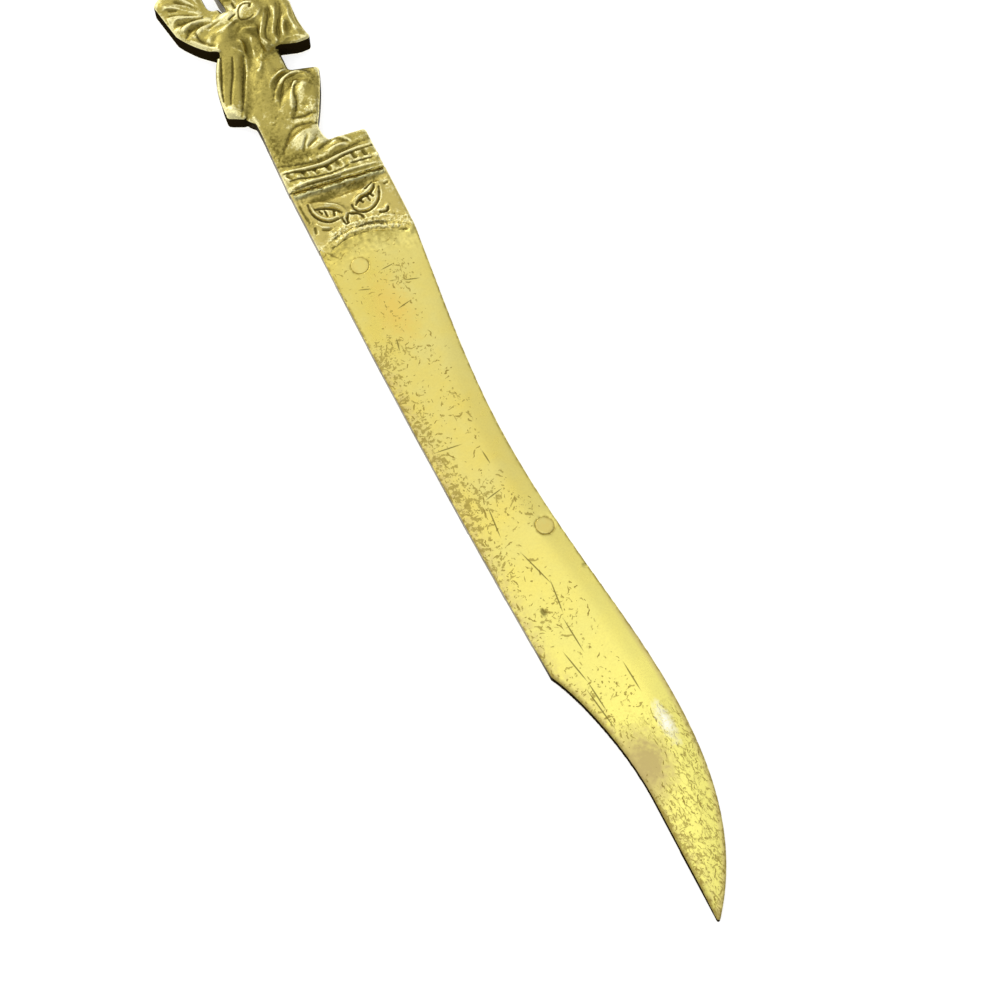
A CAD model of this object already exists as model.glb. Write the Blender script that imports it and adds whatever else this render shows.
"""Looks of the brass letter opener: a cast figure handle, a carved bolster and a scratched sabre blade.

The frame is the CAD part's own, in metres. Lines and places below are (x, y) pairs in millimetres, as the
carver sees the face: +X towards the cutting edge, +Y towards the head, +Z up out of the flat back.
"""

import bpy
import numpy as np
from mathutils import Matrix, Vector, kdtree


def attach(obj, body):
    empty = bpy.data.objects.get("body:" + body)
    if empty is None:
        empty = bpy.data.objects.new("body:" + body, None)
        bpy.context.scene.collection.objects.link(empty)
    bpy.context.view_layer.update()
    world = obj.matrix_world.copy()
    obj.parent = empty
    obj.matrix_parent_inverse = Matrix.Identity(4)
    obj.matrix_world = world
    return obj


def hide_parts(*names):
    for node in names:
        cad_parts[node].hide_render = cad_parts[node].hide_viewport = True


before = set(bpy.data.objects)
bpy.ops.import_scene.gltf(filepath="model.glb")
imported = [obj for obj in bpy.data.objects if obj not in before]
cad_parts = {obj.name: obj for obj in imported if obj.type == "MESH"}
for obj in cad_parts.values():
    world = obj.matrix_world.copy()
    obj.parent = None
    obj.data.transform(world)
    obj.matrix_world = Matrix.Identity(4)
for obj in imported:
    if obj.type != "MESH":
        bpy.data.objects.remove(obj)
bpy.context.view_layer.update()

MM = 0.001

# Camera, in millimetres, found from the blade's outline: a long lens above, a little on the tip's side
CAMERA_PLACE = (-78.30, -214.97, 417.23)
CAMERA_AIM = (-1.77, -64.77, 0.0)
CAMERA_LENS = 84.24
CAMERA_SENSOR = 36.0
CAMERA_NEAR = 10.0

# Light and floor, in metres and watts
BRIGHT_SIDE = (-0.5, 0.8, 0.2)
ROOM_TURN = (-0.6, 0.9)
ROOM_LIGHT = (0.4, 1.0)
SOFTBOX_PLACE = (0.24, -0.2, 1.2)
SOFTBOX_SIZE = 1.3
SOFTBOX_POWER = 2.3
GLINT_PLACE = (-0.1, 0.9, 0.6)
GLINT_SIZE = 0.5
GLINT_POWER = 1.2
FLOOR_SIZE = 6
FLOOR_DROP = 0.00002
FLOOR_GREY = (0.7, 0.7, 0.7)
FLOOR_ROUGHNESS = 0.9
FLOOR_GLOW = 0.66

# Share of its faces that the figure keeps
FIGURE_SHARE = 0.8

# Meshes: voxels, swells and reaches, in millimetres
FIGURE_VOXEL = 0.175
BLOCK_VOXEL = 0.13
BLADE_VOXEL = 0.25
BRAZE_VOXEL = 0.09
PLUG_VOXEL = 0.12
PLUG_SWELL = 0.1
BEAD_SWELL = 0.12
MERGE_REACH = 0.002

# Walls are read between two heights, and carving wires are held above the face and drawn in short steps
WALL_SLICE = (0.3, 0.7)
CARVING_CEILING = 20.0
WIRE_STEPS = 8

# Rounds of smoothing: all over, then where a piece is calmed
FIGURE_WEAR = 5
BLOCK_WEAR = 6
BLADE_WEAR = 2
PLUG_WEAR = 3
SEAM_WEAR = 2
BEAD_WEAR = 6
FIGURE_CALM = 70
LOCK_CALM = 150
STEP_CALM = 260
BLOCK_CALM = 60
BLADE_CALM = 160

# Where a piece is calmed or spared: from where that starts to where it is full, in millimetres
FIGURE_INSIDE = (0.25, 1.05)
BLADE_INSIDE = (0.2, 1.0)
HEAD_LEFT = (-6.0, -4.0)
HEAD_FOOT = (57.0, 59.0)
LOCK_RIGHT = (-4.5, -6.0)
LOCK_TOP = (48.5, 47.0)
LOCK_FOOT = (34.0, 35.5)
MELTED_REACH = 2.4

# Share of the head's carving that isn't calmed, and how far up a point of the block faces to be calmed
HEAD_KEPT = 0.85
BLOCK_TOP = (0.5, 0.7)

# Strokes: reach to each side and rise at the line, in millimetres
CREST = (1.1, 0.22)
CREASE = (0.75, -0.32)
CHANNEL = (1.3, -0.42)
SWELL = (1.9, 0.28)
HOLLOW = (1.9, -0.28)
SLOPE = (2.6, 0.9)
HEM_CUT = (1.1, -1.0)
BASE_CREST = (0.95, 0.36)
BASE_CREASE = (0.7, -0.34)
STUD_GAP = (0.8, -0.4)
BLOCK_CHANNEL = (1.5, -0.42)
BROW_RIDGE = (1.1, 0.34)
BLOCK_CREST = (0.85, 0.24)
LEAF_RIM = (0.62, -0.5)
LEAF_VEIN = (0.5, -0.34)
SIDE_CREASE = (0.6, -0.3)
EDGE_NICK = (0.6, -0.5)
BEAD_LIP = (1.3, 0.34)
BEAD_TAPER = (1.2, 0.42)
BEAD_CREASE = (0.7, -0.3)
BEAD_RIDGE = (0.9, 0.3)

# Cuts of one stroke: shares of its length, its reach and its rise
STROKE_CUTS = ((1.0, 0.75, 0.4), (0.75, 1.0, 0.35), (0.45, 1.1, 0.25))

# Rough places: reach to each side, rise and size of the grain, in millimetres
ROUGH_CAST = (2.4, 0.3, 0.7)
ROUGH_CHEST = (4.0, 0.26, 2.0)
ROUGH_BAND = (1.5, 0.35, 1.5)
ROUGH_CREST = (2.4, 0.5, 0.8)
ROUGH_BROW = (1.8, 0.8, 1.5)
ROUGH_SEAM = (3.0, 0.5, 1.1)
HAMMERED_BLADE = (4.6, 0.42, 0.8)
HAMMERED_BEAD = (4.0, 0.6, 0.8)

# Dirt and wear along lines: reach to each side in millimetres, and strength
THIN_DIRT = (0.42, 1.0)
BROAD_DIRT = (1.0, 0.55)
LEAF_DIRT = (0.46, 1.0)
SEAM_INK = (0.9, 1.0)
BROW_SMEAR = (1.3, 1.0)
SKIRT_STAIN = (3.8, 1.0)
CREVICE_DIRT = (1.1, 0.85)
CREASE_DIRT = (1.0, 0.45)
FOOT_DIRT = (1.3, 0.4)
RIDGE_WEAR = (0.9, -0.2)

# Recesses, fine ones and broad ones: rounds of smoothing that find them, and a depth in millimetres
RECESS_GAIN = 0.25
FIGURE_RECESSES = ((12, 0.055), (90, 0.2))
BLOCK_RECESSES = ((10, 0.05), (80, 0.2))
BRAZE_RECESSES = ((10, 0.05), (40, 0.2))

# Figure, crests that catch the light
FIGURE_CRESTS = [
    # belly's rim, arm and finger
    [(-3.4, 36.2), (-2.6, 37.5), (-1.5, 38.5), (0.2, 39.2), (1.6, 39.6)],
    [(-1.6, 34.7), (-0.4, 36.4), (0.6, 37.3), (2.0, 37.8), (3.4, 37.9), (4.6, 37.5), (5.1, 36.6)],
    [(2.5, 35.9), (1.4, 35.0), (0.4, 33.4), (-0.4, 31.9), (-1.0, 30.8)],
    # neck, collar and chest folds
    [(-3.1, 51.3), (-2.2, 51.7), (-1.0, 51.4), (0.2, 51.0)],
    [(-6.1, 48.5), (-5.0, 47.4), (-4.2, 46.7)],
    [
        (-4.0, 49.6), (-3.85, 48.2), (-4.1, 46.9), (-4.6, 45.2),
        (-5.6, 42.6), (-6.8, 40.2), (-8.2, 37.2), (-10.2, 33.4),
    ],
    [(-1.9, 43.4), (-2.6, 42.2), (-3.6, 41.2)],
    [(-0.3, 46.4), (-0.9, 45.4), (-1.7, 44.2)],
    [(-1.5, 49.6), (-2.2, 47.4), (-2.6, 45.2)],
    # body's left rim
    [(-8.9, 32.4), (-9.0, 29.5), (-9.0, 26.4)],
    # beard strands
    [
        (3.9, 54.3), (3.0, 52.6), (2.0, 51.1), (1.0, 49.6),
        (0.4, 48.6), (0.0, 47.2), (0.6, 45.7), (1.4, 45.0),
    ],
    [(6.2, 54.3), (5.2, 52.2), (4.4, 50.6), (3.4, 49.0), (2.8, 47.4), (2.8, 45.6), (2.6, 44.7)],
    [(6.4, 49.6), (5.6, 48.8), (4.9, 47.4), (4.4, 45.9)],
    [(8.3, 53.4), (7.9, 51.4), (7.4, 50.0), (7.3, 48.4), (7.6, 46.4)],
    [(3.2, 44.9), (5.0, 45.2), (6.6, 45.0), (8.0, 44.3), (8.6, 43.9)],
    # hair flutes
    [(-15.6, 63.2), (-14.0, 63.1), (-12.5, 62.2), (-10.5, 60.5), (-8.6, 59.1)],
    [(-15.1, 59.2), (-13.7, 59.8), (-12.0, 59.5), (-10.0, 58.8), (-8.4, 58.2)],
    [(-13.3, 56.8), (-12.2, 57.3), (-10.5, 57.6), (-9.0, 57.4), (-7.4, 56.9)],
    [(-11.0, 55.1), (-9.8, 55.6), (-8.2, 55.8)],
    [(-13.6, 65.6), (-11.2, 64.0), (-9.2, 61.6)],
    [(-9.6, 65.2), (-8.9, 63.4), (-8.2, 61.2)],
    [(-13.0, 53.6), (-12.0, 52.6), (-10.7, 51.0), (-9.6, 50.0)],
    # rim of the band and of the ear
    [(-7.2, 53.2), (-6.0, 53.1), (-4.5, 53.6), (-2.6, 54.1)],
    [(-1.9, 53.4), (-0.5, 52.6), (0.5, 52.4), (1.8, 52.9), (2.9, 53.9)],
]

# Figure, thin dark creases
FIGURE_CREASES = [
    [
        (-3.3, 31.3), (-2.0, 33.6), (-0.9, 35.4), (0.2, 36.8),
        (1.6, 37.2), (3.4, 37.1), (4.6, 36.6), (5.0, 35.6),
    ],
    # between the beard strands
    [(4.7, 54.4), (3.9, 52.2), (2.7, 50.3), (1.6, 48.6), (1.1, 47.0), (1.6, 46.0)],
    [(7.0, 53.4), (6.1, 51.2), (4.7, 49.2), (3.8, 47.4), (3.6, 46.0)],
    [(8.9, 51.6), (8.5, 48.6), (8.6, 46.4)],
    # between the flutes
    [(-15.4, 61.6), (-14.0, 61.2), (-12.4, 60.6), (-10.8, 59.7), (-9.4, 59.0)],
    [(-14.2, 62.6), (-12.6, 61.9)],
    [(-12.4, 64.2), (-10.4, 62.4), (-8.8, 60.4)],
    [(-8.5, 55.0), (-7.4, 55.4), (-5.9, 55.3)],
    # foot and toes
    [(-1.1, 22.8), (-2.2, 21.6), (-3.2, 20.2)],
    [(-1.9, 20.7), (-0.4, 21.4), (0.5, 21.7)],
]

# Figure, creases that hold dark dirt: the lock's lines, the ear's curl, its hook and the slits beside it
DIRTY_CREASES = [
    [(-7.0, 46.6), (-8.7, 42.7), (-10.2, 40.0), (-11.2, 38.0), (-11.9, 36.4)],
    [(-9.2, 47.4), (-10.7, 43.8), (-12.2, 40.2), (-13.0, 37.6)],
    [
        (1.5, 55.9), (0.9, 56.2), (0.0, 56.5), (-1.0, 56.0), (-1.7, 54.9),
        (-1.9, 53.9), (-1.4, 53.3), (-0.2, 52.8), (0.8, 53.0),
    ],
    [(1.0, 55.3), (1.4, 55.8)],
    [(-4.0, 54.6), (-3.2, 54.9), (-2.4, 55.2)],
    [(-1.8, 58.1), (-1.7, 56.6)],
]

# Figure, deeper channels that part its forms
FIGURE_CHANNELS = [
    [(-3.7, 33.6), (-2.6, 35.4), (-1.6, 36.8), (-0.6, 37.9), (0.8, 38.6), (2.4, 38.7), (4.2, 38.4)],
    [(2.7, 35.3), (1.6, 34.6), (0.8, 33.2), (0.5, 31.4), (-0.4, 29.8), (-1.7, 28.2)],
    [(-7.0, 21.7), (-5.6, 23.4), (-4.4, 24.8), (-3.0, 26.0), (-1.6, 26.4), (0.2, 26.0), (2.0, 25.2)],
    [(-4.8, 46.0), (-6.2, 42.4), (-7.4, 40.2), (-8.6, 37.6), (-9.8, 35.2), (-11.0, 33.0)],
    [(-15.0, 58.2), (-14.0, 58.7), (-12.2, 58.6), (-10.4, 58.3), (-8.5, 58.0)],
    [(-13.4, 55.0), (-12.7, 55.9), (-11.2, 56.5), (-9.4, 56.6), (-7.9, 56.2)],
    [(-11.6, 55.0), (-11.3, 53.5), (-10.4, 51.8), (-9.2, 50.4)],
    [(-1.8, 28.4), (0.4, 27.9), (2.8, 27.6)],
]

# Figure, slopes that lead from one level of the casting to the next
FIGURE_SLOPES = [
    [(-6.4, 52.6), (-3.0, 52.8), (0.4, 51.6), (2.2, 51.0)],
    [(1.6, 50.4), (0.0, 48.6), (-0.6, 46.4), (0.6, 44.6)],
    [(-9.2, 49.2), (-7.2, 50.2), (-5.2, 51.2)],
    [(-5.4, 48.6), (-3.0, 50.2), (-1.0, 49.4)],
    [(-7.8, 48.9), (-6.2, 49.3), (-4.8, 49.4)],
]

# Figure, the web cast full under the fan's heel: place, radius and height
FIGURE_WEBS = [((-6.6, 49.3), 1.7, 3.7)]

# Figure, steps between its levels that have melted away, and the hem under the beard
MELTED_STEPS = [
    [(-8.6, 48.8), (-7.4, 49.8), (-6.4, 50.9), (-5.2, 52.0), (-3.4, 53.0), (-1.6, 52.8), (0.6, 52.0)],
    [(2.4, 51.2), (1.0, 49.6), (0.0, 48.2), (-0.4, 46.6), (0.4, 45.0)],
    [(-8.8, 48.2), (-7.2, 48.4), (-5.4, 48.2)],
]
BEARD_HEM = [(2.9, 44.4), (4.6, 44.0), (6.4, 43.4), (9.8, 43.1)]

# Figure, broad swells and hollows
FIGURE_SWELLS = [
    [(-12.1, 35.1), (-12.3, 34.5)],
    [(-4.0, 22.9), (-1.2, 24.2), (0.8, 24.0)],
    [(-1.2, 19.8), (1.0, 20.8)],
    [(5.4, 35.2), (6.8, 36.4)],
    [(3.6, 34.6), (2.7, 32.6), (2.3, 31.0)],
    [(4.4, 46.2), (7.0, 46.2)],
]
FIGURE_HOLLOWS = [
    [(6.4, 48.4), (6.0, 47.0)],
    [(-3.0, 50.0), (-3.3, 46.6), (-4.2, 43.0)],
    [(-0.9, 43.6), (-2.2, 41.2), (-3.2, 39.6)],
]

# Base bands, and the seam under them
BASE_CHANNELS = [
    [(0.0, 19.4), (2.0, 20.0), (3.6, 20.2), (4.6, 19.6), (5.6, 18.4)],
    [
        (-9.6, 19.4), (-8.4, 18.8), (-6.4, 18.2), (-4.0, 17.6),
        (-2.0, 17.1), (0.4, 17.0), (4.0, 17.1), (9.8, 17.2),
    ],
]
BASE_CRESTS = [
    [
        (-9.5, 17.6), (-7.6, 17.2), (-5.0, 16.6), (-2.6, 16.1),
        (-0.6, 15.9), (2.0, 16.2), (6.0, 16.2), (9.8, 15.8),
    ],
    [(1.4, 18.1), (3.0, 18.4), (5.0, 18.2)],
    [(4.6, 20.3), (5.4, 19.4), (6.2, 18.4)],
    [(-9.4, 13.4), (-6.0, 13.3), (-2.0, 12.6), (2.0, 12.1), (6.0, 11.7), (9.4, 11.0)],
]
BASE_CREASES = [
    [
        (-9.0, 17.2), (-7.0, 16.6), (-5.2, 16.0), (-3.0, 15.6),
        (-0.6, 15.2), (1.6, 15.4), (4.0, 15.7), (9.8, 15.3),
    ],
    [(-8.6, 15.1), (-6.6, 14.8), (-4.6, 14.1), (-2.2, 13.5), (0.0, 13.1), (2.2, 13.1), (3.4, 13.2)],
    [(4.2, 13.4), (6.4, 13.1), (8.6, 12.7)],
]
SEAM_LINE = [(-9.0, 12.6), (-2.4, 11.8), (2.6, 11.1), (9.2, 10.1)]
SEAM_DIRT = [[(-8.4, 12.9), (-5.0, 12.6), (-2.0, 12.1), (1.0, 11.6)]]
STUD_GAPS = [
    [(-8.5, 16.6), (-8.1, 15.6)],
    [(-5.4, 15.9), (-5.0, 14.8)],
    [(-3.1, 15.4), (-2.7, 14.3)],
    [(-0.6, 15.1), (-0.2, 14.0)],
    [(1.8, 15.0), (2.2, 13.8)],
    [(5.4, 15.4), (5.6, 14.3)],
    [(7.6, 15.0), (7.8, 13.9)],
]

# Arch between the bolster and the blade: the lines of its bead, and the bead's edge and ends on the blade
ARCH_CREST = [(-6.0, 0.4), (-4.0, 1.0), (0.0, 0.8), (3.0, 0.4), (6.0, -0.6), (9.0, -2.4)]
ARCH_BEAD = [(-7.2, -1.2), (-4.8, -0.3), (-2.0, 0.1), (0.4, -0.2), (3.0, -1.0), (5.4, -2.2), (8.0, -3.8)]
ARCH_SKIRT = [(-7.2, -3.7), (-3.0, -3.6), (0.4, -4.0), (4.0, -5.2), (7.0, -6.4)]
ARCH_CREASE = [
    (-6.4, -0.6), (-4.8, -0.2), (-2.0, 0.2), (-0.6, -0.1),
    (1.6, -0.4), (3.0, -0.8), (4.4, -1.6), (5.4, -2.3),
]
ARCH_CREVICE = [(0.0, -0.2), (1.6, -0.4), (3.0, -0.8), (4.2, -1.5)]
ARCH_RIDGE = [(-6.6, -1.6), (-4.6, -1.0), (-2.0, -0.7), (0.4, -1.0), (2.6, -1.7), (5.0, -2.8), (7.4, -4.0)]
BEAD_EDGE = [(-9.6, -3.4), (-7.4, -2.7), (-5.0, -2.1), (-2.3, -2.0), (1.2, -2.6), (4.5, -4.0), (9.0, -6.6)]
BEAD_ENDS = [
    [(-10.2, -1.2), (-9.3, -2.7), (-8.4, -4.0)],
    [(9.3, -3.8), (8.5, -5.2), (7.7, -6.5)],
]
ARCH_FOOT = [(-7.0, -2.6), (-4.6, -2.1), (-2.0, -1.9), (0.4, -2.2), (2.6, -2.9), (5.0, -3.9), (7.4, -5.0)]

# Bolster: rims of the eye-shaped leaves and the bridge between them
LEAF_RIMS = [
    [(-7.7, 8.8), (-7.8, 7.0), (-7.2, 5.2), (-6.2, 4.0), (-5.0, 3.3), (-3.4, 3.2), (-2.6, 3.2)],
    [(-6.8, 7.2), (-5.4, 6.8), (-4.0, 6.1), (-2.9, 5.2), (-2.3, 4.2)],
    [(-2.8, 3.2), (-2.7, 2.3), (-2.4, 1.6), (-1.9, 2.6), (-1.2, 3.4)],
    [(-1.2, 3.4), (-0.4, 3.1), (0.6, 2.7), (1.0, 2.2), (1.2, 1.3)],
    [
        (0.3, 4.9), (0.3, 3.8), (0.9, 2.9), (2.0, 2.4), (3.4, 2.4),
        (4.8, 3.0), (5.8, 3.9), (6.4, 5.0), (6.9, 6.2),
    ],
    [(1.0, 4.4), (1.6, 5.0), (2.8, 5.6), (3.8, 5.7), (4.8, 5.9), (5.8, 6.5), (6.3, 7.2)],
]

# Bolster: veins of the leaves, curls, and soft marks at its sides
BLOCK_CREASES = [
    [(-6.2, 6.5), (-5.9, 5.7)],
    [(-5.2, 6.1), (-5.2, 4.7)],
    [(-3.5, 5.5), (-3.9, 4.3)],
    [(2.2, 5.2), (2.6, 4.4)],
    [(3.9, 5.6), (4.0, 4.2)],
    [(4.6, 5.8), (5.0, 4.8)],
    [(4.2, 7.0), (5.0, 7.4), (6.0, 7.9)],
    [(4.6, 0.9), (5.4, 0.5), (6.3, 0.7), (6.6, 1.2)],
]
SIDE_CREASES = [
    [(-9.2, 10.8), (-9.3, 8.0), (-9.1, 5.0)],
    [(-7.4, 2.4), (-6.4, 1.9), (-5.6, 1.8)],
    [(-8.6, 3.4), (-8.9, 2.2)],
    [(8.2, 6.4), (9.0, 6.5)],
]
BLOCK_CRESTS = [
    [(-7.3, 8.6), (-7.2, 6.6), (-6.4, 5.0), (-5.4, 4.1), (-4.0, 3.8), (-2.6, 3.9)],
    [(-5.2, 7.8), (-4.0, 7.1), (-2.6, 6.3), (-1.8, 5.2), (-1.4, 4.2)],
    [(0.6, 5.3), (1.8, 6.0), (3.2, 6.1), (4.4, 6.4), (5.6, 7.0)],
    [(4.4, 1.3), (5.6, 1.2), (6.8, 1.8)],
    [(-8.0, 4.0), (-7.2, 2.9), (-6.0, 2.2)],
    ARCH_CREST,
]
BLOCK_CHANNELS = [
    [(-8.2, 10.0), (-5.0, 9.1), (-2.0, 8.6), (1.0, 8.5), (4.0, 8.3), (6.4, 8.2), (8.8, 8.2)],
]
BLOCK_BROW = [(-9.2, 11.3), (-5.0, 10.7), (-1.0, 10.1), (3.0, 9.7), (9.2, 9.1)]

# Rough, grainy places on the casting
ROUGH_LINES = [
    [(-8.6, 20.0), (-8.2, 25.6)],
    [(-8.6, 19.6), (-4.0, 18.9), (-1.0, 18.4)],
    [(-5.6, 29.4), (-1.0, 29.6), (2.4, 29.2)],
    [(5.2, 33.6), (5.8, 36.2)],
]
CHEST_LINES = [
    [(-2.6, 46.0), (-4.0, 41.0), (-5.4, 36.0), (-6.0, 31.0), (-5.6, 26.0)],
    [(-1.6, 51.0), (-2.4, 47.0)],
]

# Figure and bolster: ovals that are darker or brighter than the rest, with how much, and how soft they end
PATINA_EDGE = 0.6
FIGURE_PATINA = [
    (((2.5, 49.5), (6.5, 5.0)), 0.16),
    (((-3.5, 50.5), (3.5, 3.0)), 0.11),
    (((-9.6, 41.5), (3.2, 6.5)), 0.2),
    (((-3.5, 37.0), (4.0, 6.0)), 0.17),
    (((-11.0, 58.5), (5.0, 6.0)), -0.06),
    (((-7.6, 23.5), (2.2, 4.6)), 0.32),
    (((-5.0, 19.3), (4.5, 1.0)), 0.24),
    (((-1.0, 22.6), (4.5, 3.2)), -0.11),
    (((-4.5, 56.6), (4.0, 2.6)), -0.15),
    (((0.5, 54.8), (2.6, 2.4)), -0.1),
    (((0.0, 12.9), (10.0, 0.9)), -0.16),
    (((-12.1, 35.0), (1.6, 1.8)), -0.15),
    (((-3.5, 12.6), (5.0, 0.6)), 0.2),
    (((5.5, 35.4), (1.3, 2.6)), 0.3),
    (((-5.4, 60.0), (2.3, 2.3)), 0.42),
    (((-2.4, 59.6), (1.5, 1.0)), 0.4),
]
BLOCK_PATINA = [
    (((-3.5, 9.2), (4.5, 0.8)), 0.3),
    (((3.5, 8.6), (2.0, 0.6)), 0.2),
    (((-9.2, 6.5), (0.9, 3.5)), 0.25),
]

# Walls of the casting: where along its length they turn black, how unevenly, and the notch's bare side
FIGURE_BLACK = (20.5, 31.5)
BLACK_SWAY = 3.0
NOTCH_SIDE = ((-4.0, 60.4), (2.2, 3.6))
NOTCH_EDGE = 0.5

# A stretch past the head's top, for pieces whose walls stay brown
NO_BLACK = (70.0, 81.0)

# Blade: nicks in its edge, and ovals where its flecks crowd
EDGE_NICKS = [
    [(8.4, -124.2), (9.2, -124.6)],
    [(8.8, -121.0), (9.4, -121.2)],
    [(7.9, -129.6), (8.5, -130.0)],
    [(5.6, -60.0), (6.2, -60.1)],
    [(6.1, -84.4), (6.9, -84.6)],
]
FLECK_CLUSTERS = [
    ((-0.3, -32.6), (2.2, 1.8)),
    ((1.4, -36.2), (1.3, 1.0)),
    ((0.5, -43.5), (3.2, 3.6)),
    ((3.4, -13.0), (3.2, 2.6)),
    ((-4.5, -27.0), (3.2, 3.2)),
    ((-8.6, -29.0), (1.8, 4.0)),
    ((-9.0, -39.0), (2.2, 9.0)),
    ((-8.4, -52.0), (2.4, 7.0)),
    ((-5.0, -62.5), (4.5, 3.6)),
    ((-8.2, -67.0), (2.8, 9.0)),
    ((-7.4, -79.0), (2.0, 6.0)),
    ((1.0, -69.0), (4.0, 3.5)),
    ((-3.4, -90.0), (3.0, 4.0)),
    ((1.2, -110.0), (5.0, 6.0)),
]

# Flecks: turn of their pattern, spacing, half length, half width and how far their own turns spread
FULL_TURN = 6.28
FLECK_KINDS = [
    (0.4, 2.6, 1.35, 0.2, FULL_TURN),
    (1.3, 1.6, 0.75, 0.19, FULL_TURN),
    (2.2, 0.8, 0.26, 0.17, FULL_TURN),
]
TIP_STREAKS = (-0.1, 1.3, 1.2, 0.13, 0.9)

# Bends in the flecks, their size and how far they go, and how far the tip's crazing is drawn out
BEND_SIZE = 1.3
BEND = 1.5
CRAZING_STRETCH = 2.6

# Blade: stretches of its length, and distances from its spine and its edge, in which a look becomes full
BELOW_ARCH = (-24, -34)
TOWARDS_TIP = (-60, -128)
CLEANER_HALF = (-68, -82)
WORN_EDGE = (-88, -100)
BLACK_SPINE = (-94, -102)
FLECKED_TIP = (-112, -126)
CRAZED_TIP = (-112, -122)
DULL_TIP = (-116, -132)
SPINE_SIDE = (4.5, 0.3)
EDGE_SIDE = (5.5, 2.5)

# Blade: how much more or less flecks crowd in these places, how soft those end, and what the tip takes back
SPINE_CROWD = 0.32
TIP_CROWD = 0.2
CLEANER_CROWD = -0.12
EDGE_CROWD = -0.3
TARNISH_CROWD = -0.5
CLUSTER_CROWD = 0.36
STREAK_CROWD = 0.62
TARNISH_EDGE = 0.5
CLUSTER_EDGE = 0.7
TIP_TAKES_BACK = 0.6

# Blade: ovals of its stains, its glint and its chips, and its long scratches
STAIN = ((-2.5, -19.8), (2.8, 5.4))
TARNISH = ((-1.4, -124.2), (3.5, 5.6))
GLINT = ((5.1, -118.6), (0.95, 2.9))
CHIPS = [((-5.3, -89.6), (0.5, 0.9)), ((9.0, -124.4), (0.5, 0.9))]
SCRATCH_HALF_WIDTH = 0.15
SCRATCHES = [
    [(-2.5, -92.2), (-2.1, -99.9)],
    [(3.5, -104.8), (3.8, -111.4)],
    [(-5.6, -98.1), (-4.2, -105.4)],
    [(-4.2, -105.4), (-3.7, -112.0)],
    [(-5.1, -106.5), (-3.9, -115.9)],
    [(-1.1, -84.2), (-2.0, -91.3)],
    [(-3.6, -76.8), (-1.2, -85.3)],
    [(-4.9, -65.8), (-5.6, -72.6)],
    [(-4.6, -64.4), (-0.7, -63.6)],
    [(-9.0, -51.2), (-3.4, -51.9)],
    [(-0.6, -54.8), (-0.4, -57.9)],
    [(-0.9, -10.8), (2.1, -10.6)],
    [(-6.9, -12.8), (-4.3, -13.8)],
    [(-1.7, -20.1), (1.5, -19.5)],
    [(-4.8, -25.7), (-5.4, -28.6)],
    [(2.2, -14.9), (5.3, -15.9)],
]

# Range in which most of a cloudy pattern lies
NOISE_RANGE = (0.3, 0.7)

# Colours of the brass, in linear light
WORN_GOLD = (0.95, 0.87, 0.43)
OLIVE_GOLD = (0.46, 0.38, 0.095)
DARK_OLIVE = (0.19, 0.152, 0.03)
INK_BROWN = (0.1, 0.076, 0.016)
SMEAR_GREEN = (0.42, 0.42, 0.21)
BLACK_BROWN = (0.02, 0.013, 0.004)
EDGE_BROWN = (0.13, 0.1, 0.035)
BRIGHT_GOLD = (0.83, 0.68, 0.155)
PALE_GOLD = (0.8, 0.7, 0.22)
TIP_GOLD = (0.97, 0.9, 0.23)
ARCH_GOLD = (0.7, 0.58, 0.16)
MIDDLE_GOLD = (0.6, 0.49, 0.14)
FLECK_OLIVE = (0.36, 0.27, 0.055)
SCORE_OLIVE = (0.2, 0.16, 0.035)
TAN = (0.6, 0.47, 0.2)
DULL_GOLD = (0.55, 0.47, 0.15)
ORANGE_GOLD = (0.84, 0.62, 0.14)
WHITE_GOLD = (1.0, 0.98, 0.82)
SEAM_BLACK = (0.05, 0.04, 0.012)


def metres(point, height=0.0):
    """A plan point and a height, in millimetres, as a place in metres."""
    return Vector((point[0], point[1], height)) * MM


def pick(piece):
    """Makes one piece the only selected and active object."""
    bpy.ops.object.select_all(action="DESELECT")
    piece.select_set(True)
    bpy.context.view_layer.objects.active = piece


def finish_with(piece, kind, **settings):
    """Adds a modifier of one kind with these settings and applies it."""
    pick(piece)
    modifier = piece.modifiers.new(kind.lower(), kind)
    for name, value in settings.items():
        setattr(modifier, name, value)
    bpy.ops.object.modifier_apply(modifier=modifier.name)


def smooth(piece, rounds, group=""):
    """Smooths a piece, all over or by the weights of one vertex group."""
    finish_with(piece, "SMOOTH", vertex_group=group, factor=0.5, iterations=rounds)


def swell(piece, rise):
    """Swells a piece all over, in millimetres."""
    finish_with(piece, "DISPLACE", mid_level=0, strength=rise * MM)


def copy_of_node(name, node):
    """A merged copy of a CAD node's mesh, as a new piece at the origin."""
    piece = bpy.data.objects.new(name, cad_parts[node].data.copy())
    bpy.context.scene.collection.objects.link(piece)
    piece.data.name = name
    piece.data.materials.clear()
    pick(piece)
    bpy.ops.mesh.customdata_custom_splitnormals_clear()
    bpy.ops.object.mode_set(mode="EDIT")
    bpy.ops.mesh.select_all(action="SELECT")
    bpy.ops.mesh.remove_doubles(threshold=MERGE_REACH * MM)
    bpy.ops.mesh.normals_make_consistent(inside=False)
    bpy.ops.object.mode_set(mode="OBJECT")
    return piece


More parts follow.
